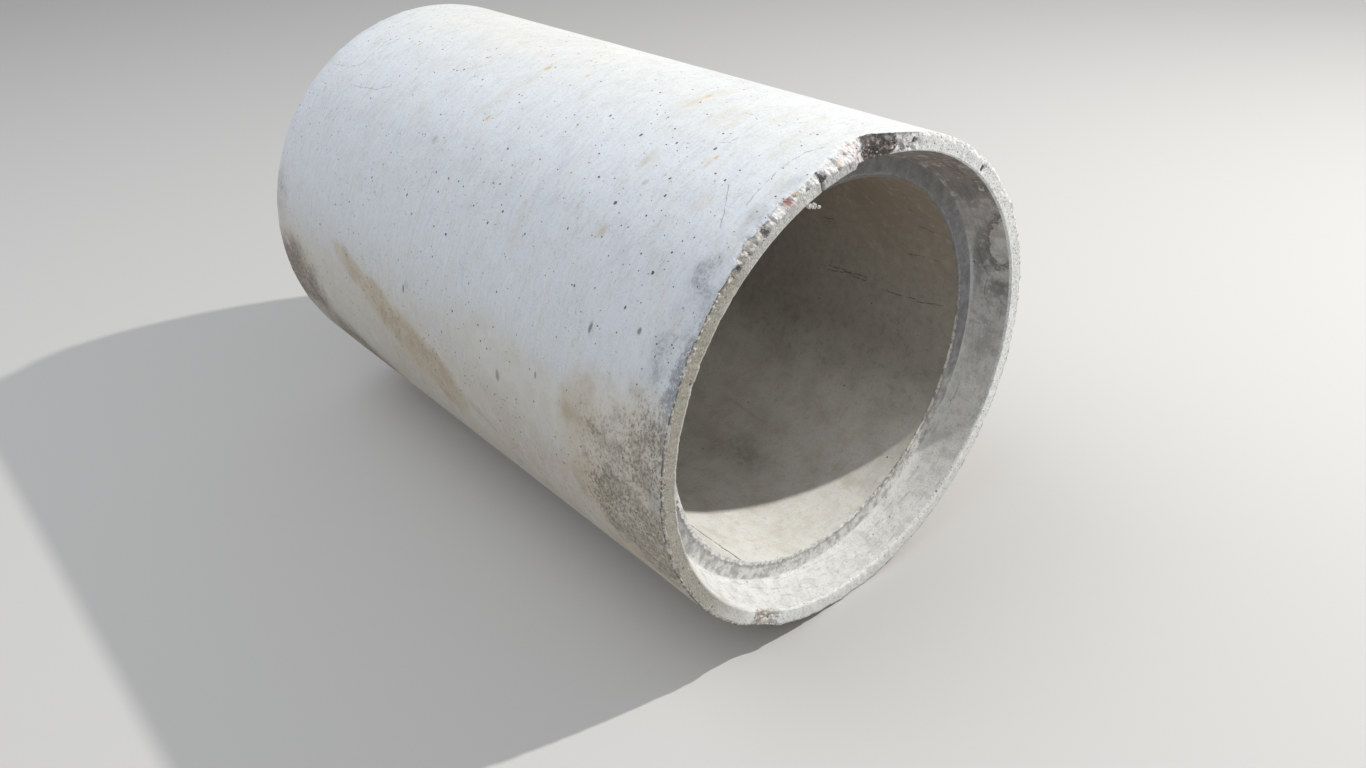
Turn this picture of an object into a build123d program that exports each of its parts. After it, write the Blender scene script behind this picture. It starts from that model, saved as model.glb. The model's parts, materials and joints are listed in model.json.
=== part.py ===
from build123d import *
from math import cos, radians, sin
import os

# Concrete sewer pipe with a tongue and groove joint, lying on its side on a level floor.
# One cast piece. Millimetres, +Z up, the pipe's axis along X and its groove end at +X.
# The origin is below the middle of the pipe, on the floor.

# Driving sizes of the sound pipe
BORE_DIAMETER = 610
WALL = 76
BARREL_LENGTH = 1172
GROOVE_DEPTH = 64
LIP_THICKNESS = 24.5
JOINT_TAPER = 19.5
SHOULDER_DISH = 2
JOINT_SIDE_GAP = 4
JOINT_END_GAP = 5
GROOVE_CORNER_RADIUS = 4
LIP_ARRIS_RADIUS = 1.5
BARREL_ARRIS_RADIUS = 4
TONGUE_ARRIS_RADIUS = 3

# The piece broken out of the lip at the top of the groove end. Each line is a place round the
# pipe in degrees, 0 at +Y and 90 at the top, and how far the break goes back from the lip's
# face, on the barrel's surface and at the mouth's edge.
BREAK = [
    (95.6, 7, 2),
    (94.2, 25, 13),
    (91.0, 30, 18),
    (87.5, 28, 17),
    (83.5, 15, 11),
    (79.0, 8, 5),
    (74.0, -1, -1),
]

# The lip's outer edge crumbled away beside it: the place in degrees, how far along the
# barrel it goes, and how far in across the lip's face.
CRUMBLED_EDGE = [
    (95.0, 22, 9),
    (102.0, 16, 8),
    (108.5, 13, 8),
    (114.5, 10, 6),
    (120.0, 4, 3),
]

# A spall through the lip low on the left, measured as the break is.
LOW_SPALL = [
    (-130.0, -1, -1),
    (-126.0, 7, 3),
    (-121.5, 8, 5),
    (-118.0, -1, -1),
]

# How far the cutting shapes of the damage stand clear of the pipe
CLEAR = 6

bore_radius = BORE_DIAMETER / 2
barrel_radius = bore_radius + WALL
mouth_radius = barrel_radius - LIP_THICKNESS
groove_radius = mouth_radius - JOINT_TAPER
tongue_length = GROOVE_DEPTH - JOINT_END_GAP
tongue_root_radius = mouth_radius - JOINT_SIDE_GAP
tongue_tip_radius = tongue_root_radius - JOINT_TAPER * tongue_length / GROOVE_DEPTH
overall_length = BARREL_LENGTH + tongue_length

face_x = overall_length / 2
tongue_end_x = -overall_length / 2
tongue_root_x = tongue_end_x + tongue_length
axis_height = barrel_radius
pipe_axis = Axis((0, 0, axis_height), (1, 0, 0))


def radial_plane(place):
    """The half plane through the pipe's axis at a place round it: local x is +X, local y is outward."""
    outward = (0, cos(radians(place)), sin(radians(place)))
    square_to_it = (0, -outward[2], outward[1])
    return Plane(origin=(0, 0, axis_height), x_dir=(1, 0, 0), z_dir=square_to_it)


def break_outline(back_outside, back_inside):
    """What a break takes out of the lip in one radial plane, from the barrel to the mouth."""
    slope = (back_outside - back_inside) / LIP_THICKNESS
    return [
        (face_x + CLEAR, barrel_radius + CLEAR),
        (face_x - back_outside - slope * CLEAR, barrel_radius + CLEAR),
        (face_x - back_inside + slope * CLEAR, mouth_radius - CLEAR),
        (face_x + CLEAR, mouth_radius - CLEAR),
    ]


def edge_outline(along, across):
    """What is crumbled off the lip's outer edge in one radial plane."""
    return [
        (face_x + along, barrel_radius + across),
        (face_x - 2 * along, barrel_radius + across),
        (face_x + along, barrel_radius - 2 * across),
    ]


with BuildPart() as concrete_pipe:
    # Half section, turned about the axis
    with BuildSketch(Plane.XZ.shift_origin((0, 0, axis_height))) as half_section:
        with BuildLine():
            Polyline(
                (tongue_end_x, bore_radius),
                (face_x - GROOVE_DEPTH - SHOULDER_DISH, bore_radius),
                (face_x - GROOVE_DEPTH, groove_radius),
                (face_x, mouth_radius),
                (face_x, barrel_radius),
                (tongue_root_x, barrel_radius),
                (tongue_root_x, tongue_root_radius),
                (tongue_end_x, tongue_tip_radius),
                close=True,
            )
        make_face()
        groove_bottom = (face_x - GROOVE_DEPTH, groove_radius, 0)
        groove_corner = half_section.vertices().sort_by_distance(groove_bottom)[0]
        fillet(groove_corner, GROOVE_CORNER_RADIUS)
        fillet(half_section.vertices().group_by(Axis.X)[-1], LIP_ARRIS_RADIUS)
        fillet(half_section.vertices().group_by(Axis.X)[0], TONGUE_ARRIS_RADIUS)
        barrel_corners = half_section.vertices().group_by(Axis.Y)[-1]
        fillet(barrel_corners.sort_by(Axis.X)[0], BARREL_ARRIS_RADIUS)
    revolve(axis=pipe_axis)

    # Damage at the groove end: each cut is lofted with flat facets between its outlines
    for damage_outline, stations in (
        (break_outline, BREAK),
        (edge_outline, CRUMBLED_EDGE),
        (break_outline, LOW_SPALL),
    ):
        for place, first, second in stations:
            with BuildSketch(radial_plane(place)):
                with BuildLine():
                    Polyline(*damage_outline(first, second), close=True)
                make_face()
        loft(ruled=True, mode=Mode.SUBTRACT)

concrete_pipe.part.label = "concrete_pipe"

os.makedirs("parts", exist_ok=True)
export_step(concrete_pipe.part, "parts/concrete_pipe.step")
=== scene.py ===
import json
import math
import random
from functools import reduce

import bmesh
import bpy
import numpy as np
from mathutils import Matrix, Vector, noise


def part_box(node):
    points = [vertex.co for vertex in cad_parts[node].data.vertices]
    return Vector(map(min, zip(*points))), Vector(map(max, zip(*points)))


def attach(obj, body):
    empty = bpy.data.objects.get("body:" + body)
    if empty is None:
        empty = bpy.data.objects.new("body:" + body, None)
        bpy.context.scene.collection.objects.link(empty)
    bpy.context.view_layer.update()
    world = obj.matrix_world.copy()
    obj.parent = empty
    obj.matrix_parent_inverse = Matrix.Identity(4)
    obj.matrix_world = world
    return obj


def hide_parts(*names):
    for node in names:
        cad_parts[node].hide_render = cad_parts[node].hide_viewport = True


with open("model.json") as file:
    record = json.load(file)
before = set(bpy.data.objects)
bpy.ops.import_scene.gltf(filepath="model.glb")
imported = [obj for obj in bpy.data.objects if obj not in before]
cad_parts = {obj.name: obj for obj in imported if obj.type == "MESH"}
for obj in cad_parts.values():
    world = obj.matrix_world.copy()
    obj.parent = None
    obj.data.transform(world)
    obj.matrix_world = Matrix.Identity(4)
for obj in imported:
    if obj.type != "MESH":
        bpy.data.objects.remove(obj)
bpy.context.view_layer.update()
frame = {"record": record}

# A weathered concrete sewer pipe on its side, its groove end towards the camera. Lengths are in
# metres, unless a name says mm. A place round the pipe is in degrees: 0 at +Y, 90 at the top.
MM = 0.001

# Sizes from the frame
low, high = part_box("concrete_pipe")
waterway = next(m for m in frame["record"]["mounts"] if m["name"] == "waterway")
FACE_X = high.x
END_X = low.x
BARREL_R = high.z / 2
BORE_R = waterway["dims"]["r_mm"] * MM

# The rest of the section
LIP_WIDTH = 24.5 * MM
MOUTH_R = BARREL_R - LIP_WIDTH
GROOVE_DEPTH = 64 * MM
GROOVE_TAPER = 19.5 * MM
GROOVE_R = MOUTH_R - GROOVE_TAPER
GROOVE_CORNER_R = 4 * MM
SHOULDER_DISH = 2 * MM
TONGUE_LENGTH = 59 * MM
TONGUE_CLEARANCE = 4 * MM
TONGUE_ROOT_R = MOUTH_R - TONGUE_CLEARANCE
TONGUE_TIP_R = TONGUE_ROOT_R - GROOVE_TAPER * TONGUE_LENGTH / GROOVE_DEPTH
SHOULDER_X = FACE_X - GROOVE_DEPTH
BORE_X = SHOULDER_X - SHOULDER_DISH
ROOT_X = END_X + TONGUE_LENGTH

# How many steps the mesh has round the pipe: at the rough groove end, and elsewhere
FINE_STEPS = 1000
COARSE_STEPS = FINE_STEPS // 4

# Round which place those steps are closer together, over how many degrees, and by how much
DENSE_PLACE = 98
DENSE_SPREAD = 26
DENSE_EXTRA = 1.6

# How far back along the barrel the coarse mesh ends, a ring between stands, and the fine mesh begins
COARSE_BACK = 95 * MM
BETWEEN_BACK = 86 * MM
FINE_BACK = 78 * MM

# The piece broken out of the lip at the top: the place, and how far the break goes back from
# the lip's face, on the barrel and at the mouth's edge, in mm
BREAK = [
    (95.6, 0, 0), (94.6, 9, 5), (93.4, 17, 10), (92.4, 23, 15), (91.5, 29, 18), (90.3, 30, 18),
    (87.5, 28, 17), (83.5, 15, 11), (79, 8, 5), (74.5, 0, 0),
]

# How far in across the face its outer edge goes
BREAK_ACROSS = 9 * MM

# A spall through the lip low on the left, measured as the break is
LOW_SPALL = [(230, 0, 0), (233, 6, 2), (238.5, 8, 5), (241, 5, 3), (243, 0, 0)]

# The lip's crumbled outer edge: the place, how far along the barrel, and how far in across the
# face, in mm
CRUMBLED_EDGE = [
    (-90, 2.5, 2.5), (-80, 2, 1.8), (-60, 1.8, 1.4), (-20, 1.8, 1.7), (20, 2.6, 3), (40, 3.6, 4.2),
    (62, 4.2, 5), (74, 4.6, 5.5), (84, 9, 7), (92, 26, 9), (95.5, 20, 8), (98.5, 15, 8), (101.5, 12, 8),
    (104.4, 8, 7), (108, 9, 7), (111.7, 8, 7), (114.4, 13, 7), (118, 6, 5), (121.5, 9, 6),
    (123.5, 13, 6), (126.3, 9, 5), (129.5, 5, 4), (132, 3, 3), (150, 3.2, 3), (190, 3.2, 3),
    (225, 3.2, 3), (270, 2.5, 2.5),
]

# Hollows in the lip's face: the place, half the width in degrees, the depth in mm, and from where
# to where across the face, as shares from its outer edge to the mouth
HOLLOWS = [
    (105, 0.7, 6, -0.3, 0.2), (105.3, 0.28, 6, 0.1, 1.2), (97.4, 0.4, 1.5, 0.2, 0.85),
    (100.2, 0.35, 2, -0.1, 0.3), (108.9, 0.8, 2.5, -0.1, 0.2), (121, 0.9, 4, -0.2, 0.25),
    (126, 0.4, 2.5, -0.1, 0.3), (129.4, 0.7, 6, -0.2, 0.3), (131.2, 0.3, 2.5, -0.1, 0.25),
    (133.4, 0.3, 2, -0.1, 0.2), (49, 0.8, 3.5, 0.15, 0.8), (59, 0.5, 2, -0.1, 0.25),
    (66.5, 0.5, 1.5, -0.1, 0.2), (37, 0.4, 2, -0.1, 0.3), (77, 0.5, 3.5, 0, 0.35),
]

# The fin of grout along the bore's edge: its width, its height, and its section as mm out from the
# bore and shares of the height
FIN_WIDTH = 7 * MM
FIN_HEIGHT = 3.2 * MM
FIN_SECTION = [(5.4, 0.3), (4.2, 0.7), (3, 1), (1.8, 0.9), (0.7, 0.8), (-0.2, 0.3)]

# The mould's joint line along the bore, low on the left: its place, and the height of its step
SEAM_PLACE = -128
SEAM_STEP = 1.2 * MM


def places(steps):
    """The places of a ring's points, from -90 at the bottom up to 270, closer together near the break."""
    even = np.linspace(-90, 270, 721)
    density = 1 + DENSE_EXTRA * np.exp(-(((even - DENSE_PLACE) / DENSE_SPREAD) ** 2))
    total = np.cumsum(density) - density[0]
    return np.interp(np.arange(steps) / steps, total / total[-1], even)


def table(rows, place, column):
    """A measure from a table of places, in metres. Places in the table run either way round."""
    rows = sorted(rows)
    return np.interp(place, [r[0] for r in rows], [r[column] for r in rows]) * MM


def on_pipe(x, r, place):
    """A point of the pipe, in the row frame, from its place and its distance from the axis."""
    a = math.radians(place)
    return Vector((x, r * math.cos(a), BARREL_R + r * math.sin(a)))


def grain(x, r, place, size, octaves=3, seed=0.0):
    """Rough noise of about -1 to 1 at points of the pipe, its lumps about size across."""
    a = np.radians(place)
    x, r = np.broadcast_to(x, a.shape), np.broadcast_to(r, a.shape)
    points = np.stack([x, r * np.cos(a), r * np.sin(a)], 1) / size + seed
    return np.array([noise.fractal(p, 0.7, 2.1, octaves) for p in points])


def waves(depth, x, r, place, size, seed):
    """A shallow relief of 0 to about twice a depth in mm."""
    return depth * MM * (1 + grain(x, r, place, size, 3, seed))


def step(t):
    """Turns smoothly from 0 to 1 as t does."""
    t = np.clip(t, 0, 1)
    return t * t * (3 - 2 * t)


def hollow_depth(place, share):
    """How deep the hollows are at a share of the way from the lip's outer edge to its mouth."""
    depth = np.zeros(len(place))
    for at, half, deep, start, end in HOLLOWS:
        round_it = np.exp(-(((place - at) / half) ** 2))
        across = step((share - start) / 0.12) * step((end - share) / 0.12)
        depth = np.maximum(depth, deep * MM * round_it * across)
    return depth


class Edge:
    """The lip's worn edge all round: where the barrel ends, the corner of the face, and the mouth."""

    def __init__(self, steps):
        place = self.place = places(steps)
        coarse = grain(0, BARREL_R, place, 0.036, 3, 3.1)
        fine = grain(0, BARREL_R, place, 0.009, 2, 7.7)
        chips = np.clip(grain(0, BARREL_R, place, 0.005, 2, 8.3) - 0.1, 0, 1)
        break_out = table(BREAK, place, 1) + table(LOW_SPALL, place, 1)
        break_in = table(BREAK, place, 2) + table(LOW_SPALL, place, 2)
        self.broken = step(break_in / (3 * MM))
        along = table(CRUMBLED_EDGE, place, 1)
        across = table(CRUMBLED_EDGE, place, 2)
        calm = np.interp(along, (4 * MM, 10 * MM), (1.0, 0.45))
        ragged = np.clip(1 + calm * (0.95 * coarse + 0.5 * fine + chips), 0.2, 2.2)
        along = np.maximum(along * ragged, break_out * (1 + 0.1 * coarse + 0.1 * fine))
        in_break = BREAK_ACROSS * self.broken + across * (1 - self.broken)
        self.along = along
        self.across = np.clip(np.where(break_in > 0, in_break, across * ragged), 0.4 * MM, 18 * MM)
        share = self.across / LIP_WIDTH
        self.back_corner = self.broken * (break_out + (break_in - break_out) * share)
        worn_mouth = 0.4 * MM + 0.5 * MM * np.clip(fine + 0.2, 0, 2)
        back_mouth = break_in * (1 + 0.12 * coarse + 0.12 * fine) + worn_mouth
        worn = step((place - 125) / 25) * step((300 - place) / 25) + step((-60 - place) / 25)
        nicks = np.clip(grain(0, MOUTH_R, place, 0.014, 3, 27.0) + 0.1, 0, 1)
        self.back_mouth = back_mouth + hollow_depth(place, 1) + worn * (0.8 * MM + 3.2 * MM * nicks)
        self.crumbled = np.maximum(self.broken, step((self.along - 2.2 * MM) / (2.5 * MM)))


def rows_between(start, end, count, ease=1.0):
    """Shares from just after start to end, closer together towards the end when ease is over 1."""
    t = np.arange(1, count + 1) / count
    return start + (end - start) * (1 - (1 - t) ** ease)


# The crevice zone colours the faces deep in the lip's hollows dark, as painted shade.
BARREL, BROKEN, LIP, GROOVE, SHOULDER, BORE, TONGUE, CREVICE_SHADE = range(8)
rings = []


def add_ring(x, r, zone, steps=FINE_STEPS):
    """A ring of points round the pipe. Its zones are those of the faces between it and the next one."""
    rings.append([np.broadcast_to(v, steps) for v in (x, r, zone)])


def cone_r(x):
    """The radius of the groove's tapered wall at an x."""
    return GROOVE_R + (MOUTH_R - GROOVE_R) * (x - SHOULDER_X) / GROOVE_DEPTH


def barrel_rings(edge, few):
    """The barrel, from its rear arris to the lip's edge. It waves a little, as cast concrete does."""
    for x in np.linspace(ROOT_X + 5 * MM, FACE_X - COARSE_BACK, 32):
        dip = waves(0.3, x, BARREL_R, few, 0.12, 1.3)
        add_ring(x, BARREL_R - dip, BARREL, COARSE_STEPS)
    add_ring(FACE_X - BETWEEN_BACK, BARREL_R - 0.25 * MM, BARREL, FINE_STEPS // 2)
    start_x = FACE_X - FINE_BACK
    edge_x = FACE_X - edge.along
    for t in rows_between(0, 1, 13, 1.7):
        x = start_x + (edge_x - start_x) * t
        dip = waves(0.25, x, BARREL_R, edge.place, 0.05, 2.2)
        pitted = 0.8 * MM * np.clip(grain(x, BARREL_R, edge.place, 0.008, 2, 2.9) - 0.4, 0, 1)
        add_ring(x, BARREL_R - dip - pitted - 0.9 * MM * step((t - 0.97) / 0.03), BARREL)


def edge_rings(edge, corner_x, corner_r):
    """The crumbled or broken outer edge, from the barrel to the corner of the lip's face."""
    edge_x = FACE_X - edge.along
    for t in rows_between(0, 1, 7)[:-1]:
        x = edge_x + (corner_x - edge_x) * t
        r = BARREL_R + (corner_r - BARREL_R) * t**1.4
        lump = 0.8 * grain(x, r, edge.place, 0.014, 3, 5.0)
        lump = lump + 0.5 * grain(x, r, edge.place, 0.0035, 2, 9.0)
        depth = (0.15 + 0.85 * edge.crumbled) * 1.7 * MM * math.sin(math.pi * t)
        hollow = 0.8 * hollow_depth(edge.place, 0.0) * t
        lump = np.clip(lump + 0.3, -0.3, 2) * depth + hollow
        # Faces deep in a hollow take the dark crevice zone: painted shade.
        zone = np.where(hollow > 1.2 * MM, CREVICE_SHADE, BROKEN)
        add_ring(x - lump, r - 0.7 * lump, zone)


def lip_rings(edge, corner_x, corner_r, mouth_x, mouth_r):
    """The face of the lip, or the break's rough floor."""
    place = edge.place
    for t in rows_between(0, 1, 13):
        x = corner_x + (mouth_x - corner_x) * t
        r = corner_r + (mouth_r - corner_r) * t
        lump = grain(x, r, place, 0.01, 3, 12.0) + 0.6 * grain(x, r, place, 0.004, 2, 14.0)
        pit = np.clip(grain(x, r, place, 0.006, 2, 17.0) - 0.35, 0, 1)
        sound = 0.25 * MM * (1 + grain(x, r, place, 0.02, 2, 4.0)) + 1.2 * MM * pit
        broken = 3.4 * MM * np.clip(lump + 0.1, -0.8, 2)
        middle = np.sin(np.pi * np.clip(t * 0.9 + 0.05, 0, 1))
        hollow = hollow_depth(place, t) * (1 - step((t - 0.9) / 0.1))
        x = x - sound * (1 - edge.broken) * (0.4 + 0.6 * middle) - broken * edge.broken * middle - hollow
        # Faces deep in a hollow take the dark crevice zone: painted shade.
        zone = np.where(hollow > 1.6 * MM, CREVICE_SHADE, np.where(edge.broken > 0.4, BROKEN, LIP))
        add_ring(np.minimum(x, FACE_X), r, zone)


def groove_rings(edge, mouth_x):
    """The tapered groove, its corner and its shoulder, with the fin of grout along the bore's edge."""
    place = edge.place
    for t in rows_between(0, 1, 14):
        x = mouth_x + (SHOULDER_X + GROOVE_CORNER_R - mouth_x) * t
        relief = waves(0.3, x, MOUTH_R, place, 0.03, 21.0)
        pit = 0.6 * MM * np.clip(grain(x, MOUTH_R, place, 0.007, 2, 23.0) - 0.3, 0, 1)
        flakes = step((grain(x, MOUTH_R, place, 0.03, 4, 25.0) - 0.05) / 0.12)
        low = np.clip((-50 - place) / 15, 0, 1) + np.clip((place - 235) / 15, 0, 1)
        ends = math.sin(math.pi * t) ** 0.5
        add_ring(x, cone_r(x) + relief + pit + 0.9 * MM * flakes * low * ends, GROOVE)
    for turn in (25, 50, 75):
        a = math.radians(turn)
        x = SHOULDER_X + GROOVE_CORNER_R * (1 - math.sin(a))
        r = GROOVE_R + 0.9 * MM - GROOVE_CORNER_R * (1 - math.cos(a))
        add_ring(x, r, GROOVE if turn < 60 else SHOULDER)
    inner, outer = BORE_R + FIN_WIDTH, GROOVE_R - GROOVE_CORNER_R
    for t in rows_between(0, 1, 9):
        r = outer + (inner - outer) * t
        x = SHOULDER_X - SHOULDER_DISH * (GROOVE_R - r) / (GROOVE_R - BORE_R)
        lump = grain(x, r, place, 0.012, 3, 31.0) + 0.5 * grain(x, r, place, 0.005, 2, 33.0)
        add_ring(x + 0.6 * MM * lump, r, SHOULDER)
    bead = np.clip(grain(0, BORE_R, place, 0.011, 3, 41.0) + 0.35, 0, 1.3)
    bead *= 0.35 + 0.3 * step(grain(0, BORE_R, place, 0.08, 2, 44.0) + 0.4)
    bead *= 0.6 + 1.7 * np.exp(-(((place + 66) / 42) ** 2))
    plain = step((place - 195) / 15) * step((SEAM_PLACE + 362 - place) / 2)
    bead *= 1 - 0.85 * plain
    for away, rise in FIN_SECTION:
        rough = 1.5 * MM * bead * grain(away * MM, BORE_R, place, 0.006, 2, 46.0)
        x = BORE_X + FIN_HEIGHT * bead * rise + rough
        r = BORE_R + away * MM + 0.3 * MM * bead
        add_ring(x, r, SHOULDER)


def seam_step(place):
    """How far the bore steps out past the mould's joint line, and fades back round the bore."""
    past = SEAM_PLACE + 360 - place
    return SEAM_STEP * step(past / 0.5) * step(1 - past / 25)


def bore_rings(edge, few):
    """The bore, from the fin back to the tongue's end."""
    place = edge.place
    for away in (1.5, 4, 8, 14, 22, 32, 44):
        x = BORE_X - away * MM
        dip = waves(0.2, x, BORE_R, place, 0.03, 51.0)
        add_ring(x, BORE_R + dip + seam_step(place), BORE)
    half = places(FINE_STEPS // 2)
    add_ring(BORE_X - 56 * MM, BORE_R + 0.2 * MM + seam_step(half), BORE, FINE_STEPS // 2)
    for x in np.linspace(BORE_X - 70 * MM, END_X + 4 * MM, 24):
        dip = waves(0.3, x, BORE_R, few, 0.1, 53.0)
        add_ring(x, BORE_R + dip + seam_step(few), BORE, COARSE_STEPS)


def tongue_rings(few):
    """The tongue's worn end and taper, and the shoulder round it."""
    for x, r in ((END_X + 0.8 * MM, BORE_R + 0.8 * MM), (END_X + 0.1 * MM, BORE_R + 3 * MM)):
        add_ring(x, r, TONGUE, COARSE_STEPS)
    for r in np.linspace(BORE_R + 8 * MM, TONGUE_TIP_R - 3.5 * MM, 5):
        add_ring(END_X + waves(0.3, END_X, r, few, 0.02, 61.0), r, TONGUE, COARSE_STEPS)
    worn = 1.2 * MM * np.clip(0.8 + grain(END_X, TONGUE_TIP_R, few, 0.015, 3, 63.0), 0.2, 2)
    add_ring(END_X + 0.8 * worn, TONGUE_TIP_R - worn, TONGUE, COARSE_STEPS)
    for t in np.linspace(0.06, 1, 9):
        x = END_X + TONGUE_LENGTH * t
        relief = waves(0.3, x, MOUTH_R, few, 0.03, 65.0)
        add_ring(x, TONGUE_TIP_R + (TONGUE_ROOT_R - TONGUE_TIP_R) * t - relief, TONGUE, COARSE_STEPS)
    for r in np.linspace(TONGUE_ROOT_R + 3 * MM, BARREL_R - 4.5 * MM, 5):
        add_ring(ROOT_X + waves(0.3, ROOT_X, r, few, 0.02, 67.0), r, TONGUE, COARSE_STEPS)
    worn = 1.3 * MM * np.clip(1 + grain(ROOT_X, BARREL_R, few, 0.02, 3, 69.0), 0.2, 2)
    add_ring(ROOT_X + worn, BARREL_R - worn, BARREL, COARSE_STEPS)


def build_rings():
    """Every ring of the pipe's skin, round its section from the barrel back to the barrel."""
    edge, few = Edge(FINE_STEPS), places(COARSE_STEPS)
    corner_x, corner_r = FACE_X - edge.back_corner, BARREL_R - edge.across
    mouth_x = FACE_X - edge.back_mouth
    barrel_rings(edge, few)
    edge_rings(edge, corner_x, corner_r)
    lip_rings(edge, corner_x, corner_r, mouth_x, cone_r(mouth_x))
    groove_rings(edge, mouth_x)
    bore_rings(edge, few)
    tongue_rings(few)
    return edge


def skin_between(first, first_count, second, second_count):
    """The faces between two rings, each with its step on the first one. Where one ring has half
    the points, each of its steps takes three triangles."""
    faces = []
    if first_count == second_count:
        for i in range(first_count):
            j = (i + 1) % first_count
            faces.append(((first + i, first + j, second + j, second + i), i))
    elif first_count > second_count:
        for face, i in skin_between(second, second_count, first, first_count):
            faces.append((tuple(reversed(face)), 2 * i))
    else:
        for i in range(first_count):
            j = (i + 1) % first_count
            a, b, c = second + 2 * i, second + 2 * i + 1, second + (2 * i + 2) % second_count
            faces += [((first + i, b, a), i), ((first + i, first + j, b), i), ((first + j, c, b), i)]
    return faces


def pipe_mesh(materials):
    """The pipe's closed skin, with a ring's zone as the material of the faces that follow it."""
    points, starts, faces, zones = [], [], [], []
    for x, r, zone in rings:
        starts.append(sum(len(p) for p in points))
        a = np.radians(places(len(x)))
        points.append(np.stack([x, r * np.cos(a), BARREL_R + r * np.sin(a)], 1))
    for k, (x, r, zone) in enumerate(rings):
        n = (k + 1) % len(rings)
        for face, i in skin_between(starts[k], len(x), starts[n], len(rings[n][0])):
            faces.append(face)
            zones.append(int(zone[i]))
    mesh = bpy.data.meshes.new("weathered_pipe")
    mesh.from_pydata(np.concatenate(points).tolist(), [], faces)
    for m in materials:
        mesh.materials.append(m)
    mesh.polygons.foreach_set("material_index", zones)
    mesh.polygons.foreach_set("use_smooth", [True] * len(mesh.polygons))
    mesh.update()
    mesh.validate()
    return mesh


# How far placed marks wander from their place
WOBBLE = 8 * MM


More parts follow.
